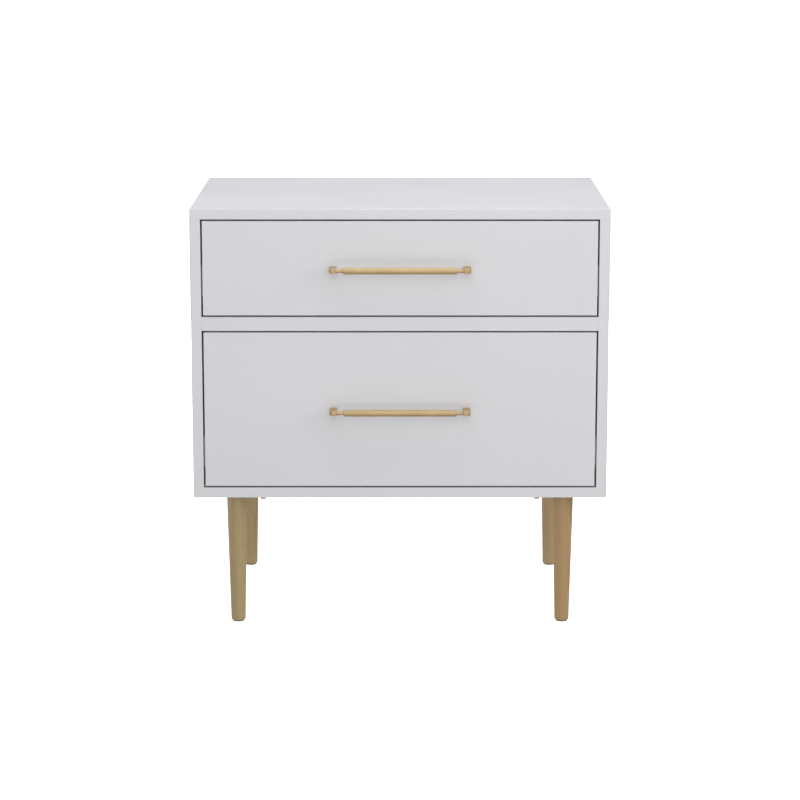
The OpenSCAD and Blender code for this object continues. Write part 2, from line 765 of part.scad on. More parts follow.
upper_left_slide_case_member();
upper_right_slide_case_member();
lower_left_slide_case_member();
lower_right_slide_case_member();
slide_case_screws();
upper_left_slide_middle_member();
upper_right_slide_middle_member();
lower_left_slide_middle_member();
lower_right_slide_middle_member();
outer_ball_cages(UPPER);  // upper_outer_ball_cages
inner_ball_cages(UPPER);  // upper_inner_ball_cages
outer_ball_cages(LOWER);  // lower_outer_ball_cages
inner_ball_cages(LOWER);  // lower_inner_ball_cages

drawer_front(UPPER);  // upper_drawer_front
drawer_side(UPPER);  // upper_drawer_left_side
mirror([1, 0, 0]) drawer_side(UPPER);  // upper_drawer_right_side
drawer_back(UPPER);  // upper_drawer_back
drawer_bottom(UPPER);  // upper_drawer_bottom
slide_drawer_members(UPPER);  // upper_slide_drawer_members
slide_drawer_screws(UPPER);  // upper_slide_drawer_screws
drawer_cam_bolts(UPPER);  // upper_drawer_cam_bolts
drawer_cam_locks(UPPER);  // upper_drawer_cam_locks
drawer_box_screws(UPPER);  // upper_drawer_box_screws
handle_bar(UPPER);  // upper_handle_bar
handle_posts(UPPER);  // upper_handle_posts
handle_screws(UPPER);  // upper_handle_screws

drawer_front(LOWER);  // lower_drawer_front
drawer_side(LOWER);  // lower_drawer_left_side
mirror([1, 0, 0]) drawer_side(LOWER);  // lower_drawer_right_side
drawer_back(LOWER);  // lower_drawer_back
drawer_bottom(LOWER);  // lower_drawer_bottom
slide_drawer_members(LOWER);  // lower_slide_drawer_members
slide_drawer_screws(LOWER);  // lower_slide_drawer_screws
drawer_cam_bolts(LOWER);  // lower_drawer_cam_bolts
drawer_cam_locks(LOWER);  // lower_drawer_cam_locks
drawer_box_screws(LOWER);  // lower_drawer_box_screws
handle_bar(LOWER);  // lower_handle_bar
handle_posts(LOWER);  // lower_handle_posts
handle_screws(LOWER);  // lower_handle_screws
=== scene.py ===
# %% [markdown]
# # A white nightstand with two drawers
#
# The real nightstand is a case of white lacquered boards on four turned wooden legs. Two drawers
# are set flush into it, each with a satin brass bar handle, and they run on ball-bearing slides.
# The frame that is loaded here already holds every part at its true size. This script gives each
# part its real edges and its real finish. Two lengths are used throughout: vertices closer than
# MERGE are one, and places closer than TOUCH are level.

# %% Load the frame
import json
from math import cos, pi, radians, sin

import bmesh
import bpy
from mathutils import Matrix, Vector


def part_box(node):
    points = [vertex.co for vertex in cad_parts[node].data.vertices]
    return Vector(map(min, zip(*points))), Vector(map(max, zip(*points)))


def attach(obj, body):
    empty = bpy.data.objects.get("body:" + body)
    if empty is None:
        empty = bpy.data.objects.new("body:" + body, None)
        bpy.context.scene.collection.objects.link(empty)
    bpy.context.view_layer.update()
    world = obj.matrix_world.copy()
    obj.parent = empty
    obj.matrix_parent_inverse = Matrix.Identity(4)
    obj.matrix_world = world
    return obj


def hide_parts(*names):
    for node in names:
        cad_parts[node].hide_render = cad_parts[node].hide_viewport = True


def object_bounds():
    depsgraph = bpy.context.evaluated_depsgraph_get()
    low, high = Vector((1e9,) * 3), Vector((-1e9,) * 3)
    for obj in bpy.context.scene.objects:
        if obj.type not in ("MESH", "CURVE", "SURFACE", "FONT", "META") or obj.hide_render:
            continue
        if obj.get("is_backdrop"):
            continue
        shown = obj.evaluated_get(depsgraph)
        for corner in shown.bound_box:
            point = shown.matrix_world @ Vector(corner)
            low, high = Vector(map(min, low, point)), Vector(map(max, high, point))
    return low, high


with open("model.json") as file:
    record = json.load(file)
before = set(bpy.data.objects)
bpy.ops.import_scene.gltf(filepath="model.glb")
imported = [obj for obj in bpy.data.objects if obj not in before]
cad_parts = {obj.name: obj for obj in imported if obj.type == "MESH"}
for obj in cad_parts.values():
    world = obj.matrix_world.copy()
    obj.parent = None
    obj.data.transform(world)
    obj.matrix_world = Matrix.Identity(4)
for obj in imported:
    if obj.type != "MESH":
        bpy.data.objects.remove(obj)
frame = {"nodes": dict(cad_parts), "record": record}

cad_low, cad_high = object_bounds()
MM = 0.001
MERGE = 0.001 * MM
TOUCH = 0.01 * MM
record = frame["record"]
body_of_node = {node: body for body, nodes in record["behaviour"]["bodies"].items() for node in nodes}
slot_of_node = {entry["node"]: entry["material_slot"] for entry in record["subparts"]}

# %% [markdown]
# ## The camera
#
# A long lens far away keeps the case's edges nearly parallel, as in a catalogue. The camera stands
# a little above the top and looks slightly down, so that the top shows as a thin band. It is placed
# from the case's front face.

# %% Place the camera
LENS = 115.2
CAMERA_DISTANCE = 3.623
CAMERA_HEIGHT = 1.0695
CAMERA_DOWN = radians(11.37)

case_front_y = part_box("top_panel")[0].y
camera_data = bpy.data.cameras.new("camera")
camera_data.lens = LENS
camera = bpy.data.objects.new("camera", camera_data)
camera.location = (0, case_front_y - CAMERA_DISTANCE, CAMERA_HEIGHT)
camera.rotation_euler = (pi / 2 - CAMERA_DOWN, 0, 0)
bpy.context.collection.objects.link(camera)
bpy.context.scene.camera = camera
print("camera:", tuple(round(value, 3) for value in camera.location))

# %% [markdown]
# ## Building a finish from nodes
#
# Every finish is a Principled shader with a few procedural textures in front of it. A texture could
# be painted as an image, but a procedural one has no seams and keeps its real scale on any part.
# All patterns read Object coordinates, which are metres here. A Mapping node stretches them along a
# grain, or centres them on a part.

# %% Helpers for node materials
def start_finish(name, **values):
    material = bpy.data.materials.new(name + "_finish")
    material.use_nodes = True
    tree = material.node_tree
    shader = tree.nodes["Principled BSDF"]
    for socket, value in values.items():
        shader.inputs[socket.replace("_", " ")].default_value = value
    return material, tree, shader


def node(tree, kind, values, **settings):
    made = tree.nodes.new(kind)
    for name, value in settings.items():
        setattr(made, name, value)
    for socket, value in values.items():
        if isinstance(value, bpy.types.NodeSocket):
            tree.links.new(value, made.inputs[socket])
        else:
            made.inputs[socket].default_value = value
    return made.outputs[0]


def place(tree, stretch=(1, 1, 1), centre=(0, 0, 0), turn=(0, 0, 0)):
    coordinates = tree.nodes.new("ShaderNodeTexCoord").outputs["Object"]
    centred = node(tree, "ShaderNodeVectorMath", {0: coordinates, 1: centre}, operation="SUBTRACT")
    return node(tree, "ShaderNodeMapping", {"Vector": centred, "Scale": stretch, "Rotation": turn})


def noise(tree, where, scale, detail=2.0, roughness=0.5):
    return node(tree, "ShaderNodeTexNoise",
                {"Vector": where, "Scale": scale, "Detail": detail, "Roughness": roughness})


def between(tree, factor, low, high, start=0.3, end=0.7):
    return node(tree, "ShaderNodeMapRange",
                {"Value": factor, "From Min": start, "From Max": end, "To Min": low, "To Max": high})


def blend(tree, one, other, share):
    kept = node(tree, "ShaderNodeMath", {0: one, 1: 1 - share}, operation="MULTIPLY")
    return node(tree, "ShaderNodeMath", {0: other, 1: share, 2: kept}, operation="MULTIPLY_ADD")


def tones(tree, factor, stops):
    ramp = tree.nodes.new("ShaderNodeValToRGB")
    elements = ramp.color_ramp.elements
    while len(elements) < len(stops):
        elements.new(0.5)
    for element, (position, colour) in zip(elements, stops):
        element.position = position
        element.color = (*colour, 1)
    tree.links.new(factor, ramp.inputs["Fac"])
    return ramp.outputs["Color"]


def relief(tree, height, strength, depth, under=None):
    values = {"Height": height, "Strength": strength, "Distance": depth}
    if under:
        values["Normal"] = under
    return node(tree, "ShaderNodeBump", values)


def feed(tree, shader, **links):
    for socket, output in links.items():
        tree.links.new(output, shader.inputs[socket.replace("_", " ")])

# %% [markdown]
# ## White satin lacquer
#
# The boards are sprayed white and rubbed to a satin. Up close such a coat has a faint orange peel a
# few millimetres across, slight cloudiness where it is thicker, and a sheen that changes a little
# from place to place. Three noises at those three scales give this, all of them weak, because a new
# coat looks almost plain.

# %% Make the lacquer
CLOUD_SCALE = 5
PEEL_SCALE = 380
MIST_SCALE = 1600
LACQUER_TONES = [(0.3, (0.729, 0.731, 0.752)), (0.7, (0.745, 0.747, 0.769))]


def make_lacquer():
    material, tree, shader = start_finish("white_lacquer", Coat_Weight=0.12, Coat_Roughness=0.25)
    where = place(tree)
    cloud = noise(tree, where, CLOUD_SCALE, 3)
    peel = noise(tree, where, PEEL_SCALE, 1)
    mist = noise(tree, where, MIST_SCALE, 2)
    colour = tones(tree, cloud, LACQUER_TONES)
    coarse = relief(tree, peel, 0.10, 0.12 * MM)
    fine = relief(tree, mist, 0.05, 0.04 * MM, coarse)
    feed(tree, shader, Base_Color=colour, Roughness=between(tree, cloud, 0.44, 0.52), Normal=fine)
    return material


lacquer = make_lacquer()
print("finish:", lacquer.name)

# %% [markdown]
# ## The boards nobody looks at
#
# The drawer boxes are melamine-faced board, whose white film is pressed with a fine pearl texture.
# The back and the drawer bottoms are thin painted hardboard, which shows short fibres under its
# paint. Both are a little warmer and rougher than the lacquer, so an open drawer reads as another
# material.

# %% Make the melamine and the hardboard
PEARL_SCALE = 900
FIBRE_SCALE = 520
ALONG_FIBRES = 0.12
BOX_BOARD_TONES = [(0.3, (0.690, 0.684, 0.668)), (0.7, (0.712, 0.706, 0.690))]
HARDBOARD_TONES = [(0.35, (0.628, 0.618, 0.596)), (0.65, (0.682, 0.674, 0.654))]


def make_box_board():
    material, tree, shader = start_finish("white_box_board")
    where = place(tree)
    cloud = noise(tree, where, 7, 2)
    pearl = noise(tree, where, PEARL_SCALE, 3, 0.6)
    colour = tones(tree, cloud, BOX_BOARD_TONES)
    feed(tree, shader, Base_Color=colour, Roughness=between(tree, pearl, 0.42, 0.56),
         Normal=relief(tree, pearl, 0.22, 0.10 * MM))
    return material


def make_hardboard():
    material, tree, shader = start_finish("white_hardboard")
    across = noise(tree, place(tree, (1, 1, ALONG_FIBRES)), FIBRE_SCALE, 4, 0.7)
    along = noise(tree, place(tree, (ALONG_FIBRES, 1, 1)), FIBRE_SCALE, 4, 0.7)
    fibres = blend(tree, across, along, 0.5)
    colour = tones(tree, fibres, HARDBOARD_TONES)
    feed(tree, shader, Base_Color=colour, Roughness=between(tree, fibres, 0.50, 0.66),
         Normal=relief(tree, fibres, 0.35, 0.12 * MM))
    return material


box_board = make_box_board()
hardboard = make_hardboard()
print("finishes:", box_board.name, hardboard.name)

# %% [markdown]
# ## Turned wood
#
# A leg is turned from a straight-grained stick, so its growth rings are cut almost parallel to its
# length and show as long soft stripes. Rings round a centre that lies outside the stick give those
# stripes, a stretched noise gives the fibres between them, and a finer one gives the short dark
# pores. Each leg gets its own centre, so no two legs are alike. A thin clear lacquer lies on top.

# %% Make the woods
RING_WIDTH_PER_SCALE = 0.314
LEG_RING_WIDTH = 2.6 * MM
BEECH_RING_WIDTH = 2 * MM
LENGTHWISE = (1, 1, 0.05)
PORE_SCALE = 2100
PORE_COLOUR = (0.16, 0.105, 0.05, 1)


def make_wood(name, centre, pith, ring_width, palette):
    material, tree, shader = start_finish(name, Coat_Weight=0.18, Coat_Roughness=0.22)
    rings_at = place(tree, (1, 1, 0.25), Vector(centre) + Vector(pith))
    fibres_at = place(tree, LENGTHWISE, centre)
    rings = node(tree, "ShaderNodeTexWave",
                 {"Vector": rings_at, "Scale": RING_WIDTH_PER_SCALE / ring_width,
                  "Distortion": 2.6, "Detail": 3.0, "Detail Scale": 0.35},
                 wave_type="RINGS", rings_direction="Z", wave_profile="SAW")
    fibres = noise(tree, fibres_at, 620, 4, 0.6)
    pores = noise(tree, fibres_at, PORE_SCALE, 1)
    broad = noise(tree, fibres_at, 70, 2)
    figure = blend(tree, blend(tree, rings, fibres, 0.55), broad, 0.35)
    colour = tones(tree, figure, palette)
    pore_mask = between(tree, pores, 0.0, 0.3, 0.60, 0.72)
    darkened = node(tree, "ShaderNodeMixRGB",
                    {"Fac": pore_mask, "Color1": colour, "Color2": PORE_COLOUR})
    feed(tree, shader, Base_Color=darkened, Roughness=between(tree, fibres, 0.34, 0.50),
         Normal=relief(tree, blend(tree, fibres, pores, 0.4), 0.22, 0.12 * MM))
    return material


BEECH_TONES = [(0.30, (0.52, 0.36, 0.20)), (0.70, (0.64, 0.47, 0.28))]
LEG_TONES = [(0.25, (0.365, 0.265, 0.140)), (0.45, (0.415, 0.306, 0.166)),
             (0.60, (0.450, 0.338, 0.189)), (0.80, (0.490, 0.374, 0.219))]
BEECH_PITH = (0.05, 0.02, 0)
beech = make_wood("beech", (0, 0, 0), BEECH_PITH, BEECH_RING_WIDTH, BEECH_TONES)
print("finish:", beech.name)

# %% [markdown]
# ## Metals
#
# All the metals are one recipe: a fully metallic shader whose roughness and relief follow a noise
# that is stretched along the way the metal was rolled, turned or brushed. The handles are satin
# brass, the slides are rolled zinc-plated sheet, the cams are die-cast zinc with a grainy skin, and
# the screws are bright zinc.

# %% Make the metals
METALS = {
    "satin_brass": {"light": (0.61, 0.465, 0.265), "dark": (0.53, 0.395, 0.21), "roughness": (0.50, 0.62),
                    "streaks": (0.04, 1, 1), "scale": 2600, "strength": 0.10},
    "zinc_sheet": {"light": (0.66, 0.67, 0.69), "dark": (0.58, 0.59, 0.62), "roughness": (0.28, 0.40),
                   "streaks": (1, 0.03, 1), "scale": 900, "strength": 0.05},
    "bearing_steel": {"light": (0.72, 0.72, 0.74), "dark": (0.62, 0.62, 0.65), "roughness": (0.10, 0.20),
                      "streaks": (1, 1, 1), "scale": 300, "strength": 0.03},
    "cast_zinc": {"light": (0.60, 0.60, 0.61), "dark": (0.48, 0.48, 0.50), "roughness": (0.42, 0.60),
                  "streaks": (1, 1, 1), "scale": 1400, "strength": 0.30},
    "zinc_steel": {"light": (0.66, 0.68, 0.72), "dark": (0.52, 0.53, 0.56), "roughness": (0.22, 0.38),
                   "streaks": (1, 1, 1), "scale": 700, "strength": 0.08}}


def make_metal(name, light, dark, roughness, streaks, scale, strength):
    material, tree, shader = start_finish(name, Metallic=1.0)
    streak = noise(tree, place(tree, streaks), scale, 3, 0.6)
    cloud = noise(tree, place(tree), 28, 2)
    colour = tones(tree, blend(tree, streak, cloud, 0.5), [(0.32, dark), (0.68, light)])
    feed(tree, shader, Base_Color=colour, Roughness=between(tree, streak, *roughness),
         Normal=relief(tree, streak, strength, 0.05 * MM))
    return material


metals = {name: make_metal(name, **look) for name, look in METALS.items()}
print("finishes:", ", ".join(metals))

# %% [markdown]
# ## The glides' nylon
#
# Under each foot is a moulded nylon disc. It is coloured a dark brown, which makes a dark line at the
# base of each foot, and has the faint grain of a mould.

# %% Make the nylon
# The dark tone makes the dark line at the base of each foot.
NYLON_TONES = [(0.3, (0.105, 0.085, 0.066)), (0.7, (0.125, 0.103, 0.082))]


def make_nylon():
    material, tree, shader = start_finish("nylon", Subsurface_Weight=0.1)
    grain = noise(tree, place(tree), 1100, 2)
    colour = tones(tree, grain, NYLON_TONES)
    feed(tree, shader, Base_Color=colour, Roughness=between(tree, grain, 0.48, 0.60),
         Normal=relief(tree, grain, 0.15, 0.08 * MM))
    return material


nylon = make_nylon()
finish_of_slot = {"white_lacquer": lacquer, "white_box_board": box_board, "white_hardboard": hardboard,
                  "beech": beech, "nylon": nylon, **metals}
print("finish:", nylon.name)

# %% [markdown]
# ## Turning a mesh into a piece
#
# Each finished piece stands for one CAD node: it takes the node's place, moves with the node's body
# and has the node's material slot. One function does all that. Faces that are flat along an axis
# stay flat-shaded, and everything else is smooth between edges sharper than forty degrees. A copied
# mesh also brings the normals that were stored with it, and these no longer fit once its edges are
# changed, so they are dropped.

# %% Helper that finishes a piece
SHARP = radians(40)
SQUARE_ON = 0.9999


def is_square_on(normal):
    return max(abs(part) for part in normal) > SQUARE_ON


def make_piece(bm, name, node_name, finish=None):
    mesh = bpy.data.meshes.new(name)
    bm.to_mesh(mesh)
    bm.free()
    if "custom_normal" in mesh.attributes:
        mesh.attributes.remove(mesh.attributes["custom_normal"])
    mesh.set_sharp_from_angle(angle=SHARP)
    mesh.polygons.foreach_set("use_smooth", [not is_square_on(face.normal) for face in mesh.polygons])
    mesh.materials.append(finish or finish_of_slot[slot_of_node[node_name]])
    piece = bpy.data.objects.new(name, mesh)
    bpy.context.collection.objects.link(piece)
    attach(piece, body_of_node[node_name])
    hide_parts(node_name)
    return piece

# %% [markdown]
# ## Easing the edges
#
# No real edge is perfectly sharp: a lacquered board is sanded at its edges, and sheet steel is
# rounded where it is cut. A Bevel modifier could do it, but it can't tell a board's outside edge
# from one that closes a joint. So a copy of the CAD mesh is merged, its flat faces are joined up
# again, and only chosen edges are beveled.

# %% Helpers that copy a node and ease its edges
FLAT = radians(0.5)
CORNER = radians(30)


def merged_copy(node_name):
    bm = bmesh.new()
    bm.from_mesh(frame["nodes"][node_name].data)
    bmesh.ops.remove_doubles(bm, verts=bm.verts, dist=MERGE)
    bmesh.ops.dissolve_limit(bm, angle_limit=FLAT, use_dissolve_boundaries=False,
                             verts=bm.verts, edges=bm.edges)
    return bm


def ease(bm, width, chosen, segments=3):
    edges = [edge for edge in bm.edges
             if edge.is_manifold and edge.calc_face_angle() > CORNER and chosen(edge)]
    bmesh.ops.bevel(bm, geom=edges, offset=width, offset_type="OFFSET", affect="EDGES",
                    segments=segments, profile=0.5, material=-1, clamp_overlap=False)
    return len(edges)


def longer_than(length):
    return lambda edge: edge.calc_length() > length

# %% [markdown]
# ## The lacquered boards
#
# The outside edges of the case are eased by almost a millimetre, which catches a thin line of light
# along the top. Where two boards meet, the edge is broken only by a third of that, so the joint
# reads as a fine seam. An edge counts as outside when it lies on the outline of the whole case.
# Short edges belong to holes and to the ends of grooves, so they are left alone.

# %% Ease the case boards and the drawer fronts
OUTSIDE_EDGE = 0.9 * MM
JOINT_EDGE = 0.3 * MM
FRONT_EDGE = 0.6 * MM
SHORT_OUTLINE = 5 * MM
SHORT = 12 * MM
CASE_BOARDS = ["top_panel", "bottom_panel", "left_side_panel", "right_side_panel", "divider_rail"]

case_low = Vector(map(min, *(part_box(board)[0] for board in CASE_BOARDS)))
case_high = Vector(map(max, *(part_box(board)[1] for board in CASE_BOARDS)))


def on_outline(edge):
    """An edge of the whole case's own box: it lies on two of the box's faces."""
    middle = (edge.verts[0].co + edge.verts[1].co) / 2
    distances = [min(abs(middle[axis] - case_low[axis]), abs(middle[axis] - case_high[axis]))
                 for axis in range(3)]
    return sum(distance < TOUCH for distance in distances) >= 2


def long_outline(edge):
    return on_outline(edge) and edge.calc_length() > SHORT_OUTLINE


def long_joint(edge):
    return not on_outline(edge) and edge.calc_length() > SHORT


for board in CASE_BOARDS:
    bm = merged_copy(board)
    eased = ease(bm, OUTSIDE_EDGE, long_outline) + ease(bm, JOINT_EDGE, long_joint, segments=2)
    piece = make_piece(bm, board + "_lacquered", board)
    print(piece.name, "edges eased:", eased)

for bay in ("upper", "lower"):
    front = bay + "_drawer_front"
    bm = merged_copy(front)
    eased = ease(bm, FRONT_EDGE, longer_than(SHORT))
    piece = make_piece(bm, front + "_lacquered", front)
    print(piece.name, "edges eased:", eased)

# %% [markdown]
# ## Drawer boxes, drawer bottoms and the back
#
# These are plain boards with a small radius on the band that covers their edges. The thin boards
# keep a sawn edge, which is broken only a little.

# %% Ease the plain boards
BOX_EDGE = 0.5 * MM
THIN_EDGE = 0.25 * MM

for bay in ("upper", "lower"):
    for part in ("left_side", "right_side", "back"):
        board = f"{bay}_drawer_{part}"
        bm = merged_copy(board)
        eased = ease(bm, BOX_EDGE, longer_than(SHORT), segments=2)
        print(make_piece(bm, board + "_board", board).name, "edges eased:", eased)

for board in ("back_board", "upper_drawer_bottom", "lower_drawer_bottom"):
    bm = merged_copy(board)
    eased = ease(bm, THIN_EDGE, longer_than(SHORT), segments=2)
    print(make_piece(bm, board + "_sheet", board).name, "edges eased:", eased)

# %% [markdown]
# ## The legs
#
# A leg is turned on a lathe, so it is made the same way: half of its outline is spun round its
# axis. The side runs straight from a soft shoulder at the top to a rounded foot. The outline's
# places come from the CAD leg's own box. The holes in its ends are not modelled again, because the
# plate and the glide cover them. Wood varies from stick to stick, so each leg gets its own pith.
# Each leg also gets its own tint, and this is painted light: the back legs are made lighter and the
# front right one warmer, to match how each leg is lit.

# %% Turn the legs
LEG_STEPS = 96
FOOT_RADIUS = 10.5 * MM
SHOULDER = 1.0 * MM
FOOT_EDGE = 1.5 * MM
ARC_STEPS = 6
LEG_PITHS = {"front_left_leg": (0.040, 0.012, 0), "front_right_leg": (-0.034, 0.022, 0),
             "back_left_leg": (0.028, -0.030, 0), "back_right_leg": (-0.046, -0.010, 0)}
# Painted light: these tints make the back legs lighter and the front right leg warmer, to match how each
# leg is lit.
LEG_LIGHTING_TINTS = {"front_left_leg": (1.02, 1.01, 0.89), "front_right_leg": (1.07, 0.92, 0.74),
             "back_left_leg": (1.22, 1.15, 0.98), "back_right_leg": (1.12, 1.07, 0.94)}


def tinted(palette, tint):
    return [(position, tuple(part * share for part, share in zip(colour, tint)))
            for position, colour in palette]


def arc(centre, radius, start, end):
    """Points round a centre in a plane of radius and height, from one angle to another."""
    angles = [start + (end - start) * step / ARC_STEPS for step in range(ARC_STEPS + 1)]
    return [(centre[0] + radius * cos(angle), centre[1] + radius * sin(angle)) for angle in angles]


def spin_outline(outline, place_point, centre, axis, steps):
    """Spins a half outline of (radius, distance along the axis) once round the axis."""
    bm = bmesh.new()
    verts = [bm.verts.new(place_point(radius, along)) for radius, along in outline]
    edges = [bm.edges.new(pair) for pair in zip(verts, verts[1:])]
    bmesh.ops.spin(bm, geom=verts + edges, cent=centre, axis=axis, angle=2 * pi, steps=steps,
                   use_merge=True)
    bmesh.ops.remove_doubles(bm, verts=bm.verts, dist=MERGE)
    bmesh.ops.recalc_face_normals(bm, faces=bm.faces)
    return bm


for leg, pith in LEG_PITHS.items():
    low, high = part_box(leg)
    centre = (low + high) / 2
    top_radius = (high.x - low.x) / 2
    foot = arc((FOOT_RADIUS - FOOT_EDGE, low.z + FOOT_EDGE), FOOT_EDGE, -pi / 2, 0)
    shoulder = arc((top_radius - SHOULDER, high.z - SHOULDER), SHOULDER, 0, pi / 2)
    outline = [(0, low.z), *foot, *shoulder, (0, high.z)]
    bm = spin_outline(outline, lambda radius, z: (centre.x + radius, centre.y, z),
                      centre, (0, 0, 1), LEG_STEPS)
    wood = make_wood(leg + "_wood", (centre.x, centre.y, 0), pith, LEG_RING_WIDTH,
                     tinted(LEG_TONES, LEG_LIGHTING_TINTS[leg]))
    piece = make_piece(bm, leg + "_turned", leg, wood)
    print(piece.name, "faces:", len(piece.data.polygons))

# %% [markdown]
# ## The handles
#
# Each handle is a turned bar between two flat posts. The thick grip ends in a crisp shoulder, a
# thin neck leads out of it and flares to the post. The bar is spun like a leg, but round an axis
# that lies along X. The posts keep the outline of their CAD nodes, and all their edges are rounded
# like those of a polished casting, except where they stand on the drawer front.

# %% Turn the handle bars and round the posts
BAR_STEPS = 80
NECK_RADIUS = 2.7 * MM
NECK_LENGTH = 9.5 * MM
NECK_FLARE = 4.5 * MM
FLARE_CORNER = 0.5 * MM
FLARE_INSETS = (0.3 * MM, 0.1 * MM)
GRIP_EDGE = 0.7 * MM
SPIGOT_RADIUS = 2.0 * MM
SPIGOT_LENGTH = 6.5 * MM
POST_EDGE = 1.1 * MM


def grip_outline(grip_radius, post_half, tip):
    """Half of the bar's outline, from the middle of the grip to the end of the spigot."""
    neck_end = tip - SPIGOT_LENGTH
    grip_end = neck_end - NECK_LENGTH
    shoulder = arc((grip_radius - GRIP_EDGE, grip_end - GRIP_EDGE), GRIP_EDGE, 0, pi / 2)
    neck = [(NECK_RADIUS, grip_end), (NECK_RADIUS, neck_end - NECK_FLARE)]
    flare = [(post_half - FLARE_INSETS[0], neck_end - FLARE_CORNER),
             (post_half - FLARE_INSETS[1], neck_end)]
    spigot = [(SPIGOT_RADIUS, neck_end), (SPIGOT_RADIUS, tip), (0, tip)]
    return [(grip_radius, 0), *shoulder, *neck, *flare, *spigot]


for bay in ("upper", "lower"):
    bar, posts = bay + "_handle_bar", bay + "_handle_posts"
    low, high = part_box(bar)
    post_low, post_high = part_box(posts)
    centre = (low + high) / 2
    grip_radius = min(high.y - low.y, high.z - low.z) / 2
    right = grip_outline(grip_radius, (post_high.z - post_low.z) / 2, high.x - centre.x)
    left = [(radius, -along) for radius, along in right[:0:-1]]
    bm = spin_outline(left + right, lambda radius, x: (centre.x + x, centre.y, centre.z + radius),
                      centre, (1, 0, 0), BAR_STEPS)
    print(make_piece(bm, bar + "_turned", bar).name, "length:", round(high.x - low.x, 4))

    def on_rim(edge):
        """Round the top or underside of a post, or up its sharp front corner, but not at the back."""
        ends = [vert.co for vert in edge.verts]
        on_flats = all(min(abs(end.z - post_low.z), abs(end.z - post_high.z)) < TOUCH for end in ends)
        up_front = all(end.y < post_low.y + TOUCH for end in ends)
        at_back = all(end.y > post_high.y - TOUCH for end in ends)
        return (on_flats or up_front) and not at_back

    bm = merged_copy(posts)
    eased = ease(bm, POST_EDGE, on_rim, segments=4)
    print(make_piece(bm, posts + "_rounded", posts).name, "edges eased:", eased)

# %% [markdown]
# ## The slides
#
# A slide is three channels of folded sheet steel, one inside the other. Folding leaves a round bend
# about as wide as the sheet is thick, and punching leaves a much smaller edge. A bend can be told
# from a cut edge by its two faces: both are wider than the sheet is thick.

# %% Fold the slides
BEND = 0.9 * MM
INNER_BEND = 0.3 * MM
CUT_EDGE = 0.15 * MM
LONG = 100 * MM
WIDER_THAN_SHEET = 2.0 * MM


def is_bend(edge):
    length = edge.calc_length()
    wide = [face.calc_area() > WIDER_THAN_SHEET * length for face in edge.link_faces]
    return length > LONG and all(wide)


def fold_channel(node_name):
    bm = merged_copy(node_name)
    bends = ease(bm, BEND, lambda edge: is_bend(edge) and edge.is_convex, segments=4)
    bends += ease(bm, INNER_BEND, lambda edge: is_bend(edge) and not edge.is_convex, segments=2)
    cuts = ease(bm, CUT_EDGE, longer_than(LONG), segments=1)
    piece = make_piece(bm, node_name + "_folded", node_name)
    print(piece.name, "bends:", bends, "cut edges:", cuts)


for bay in ("upper", "lower"):
    for side in ("left", "right"):
        fold_channel(f"{bay}_{side}_slide_case_member")
        fold_channel(f"{bay}_{side}_slide_middle_member")
    fold_channel(f"{bay}_slide_drawer_members")

# %% [markdown]
# ## The ball cages
#
# Between the channels run rows of steel balls, held apart by a thin punched strip. The strips stay
# as they are. The balls are made again as spheres, in the places of the CAD balls, because many
# faces are wasted on something so small. Each ball is a separate solid of its node, so it is found
# by its size.

# %% Put balls in the cages
BALL_SUBDIVISIONS = 3
BALL_SIZE_LIMIT = 4 * MM


def solids(bm):
    """The separate solids of a mesh, each as a list of its vertices."""
    waiting = set(bm.verts)
    found = []
    while waiting:
        solid = [waiting.pop()]
        for vert in solid:
            for edge in vert.link_edges:
                other = edge.other_vert(vert)
                if other in waiting:
                    waiting.remove(other)
                    solid.append(other)
        found.append(solid)
    return found


def corners(verts):
    places = [vert.co for vert in verts]
    return Vector(map(min, *places)), Vector(map(max, *places))


for cage in ("outer_ball_cages", "inner_ball_cages"):
    for bay in ("upper", "lower"):
        bm = merged_copy(f"{bay}_{cage}")
        boxes = [(solid, *corners(solid)) for solid in solids(bm)]
        balls = [(solid, low, high) for solid, low, high in boxes if max(high - low) < BALL_SIZE_LIMIT]
        ball_verts = [vert for solid, low, high in balls for vert in solid]
        bmesh.ops.delete(bm, geom=ball_verts, context="VERTS")
        for solid, low, high in balls:
            bmesh.ops.create_icosphere(bm, subdivisions=BALL_SUBDIVISIONS, radius=max(high - low) / 2,
                                       matrix=Matrix.Translation((low + high) / 2))
        print(make_piece(bm, f"{bay}_{cage}_filled", f"{bay}_{cage}").name, "balls:", len(balls))

# %% [markdown]
# ## Screws, cams, plates and glides
#
# A pressed screw head has a rounded rim, and so has a cast cam or a moulded glide. The rim is a
# ring of short edges, so it is found by its shape: both ends of each edge are equally far from the
# solid's own axis, at the same height along it, and far enough out not to be the shank. The recess
# for the screwdriver keeps its sharp edges.

# %% Round the rims of the fittings
WIDER_THAN_SHANK = 0.62
WIDE_HEAD_RIM = 0.7 * MM
HEAD_RIM = 0.4 * MM
SUNK_HEAD_RIM = 0.1 * MM
CAM_RIM = 0.3 * MM
GLIDE_RIM = 0.35 * MM


def ring_edges(bm, axis, inner_share):
    """Edges of rings round each solid's axis, at more than that share of its widest radius."""
    across = [direction for direction in range(3) if direction != axis]
    chosen = set()
    for solid in solids(bm):
        low, high = corners(solid)
        middle = (low + high) / 2
        widest = (high[across[0]] - low[across[0]]) / 2

        def radius(vert):
            offset = vert.co - middle
            offset[axis] = 0
            return offset.length

        for vert in solid:
            for edge in vert.link_edges:
                other = edge.other_vert(vert)
                level = abs(vert.co[axis] - other.co[axis]) < MERGE
                round_axis = abs(radius(vert) - radius(other)) < TOUCH
                if level and round_axis and radius(vert) > inner_share * widest:
                    chosen.add(edge)
    return chosen


def round_rims(node_name, ending, axis, width):
    bm = merged_copy(node_name)
    rings = ring_edges(bm, axis, WIDER_THAN_SHANK)
    eased = ease(bm, width, lambda edge: edge in rings)
    print(make_piece(bm, node_name + ending, node_name).name, "rim edges:", eased)


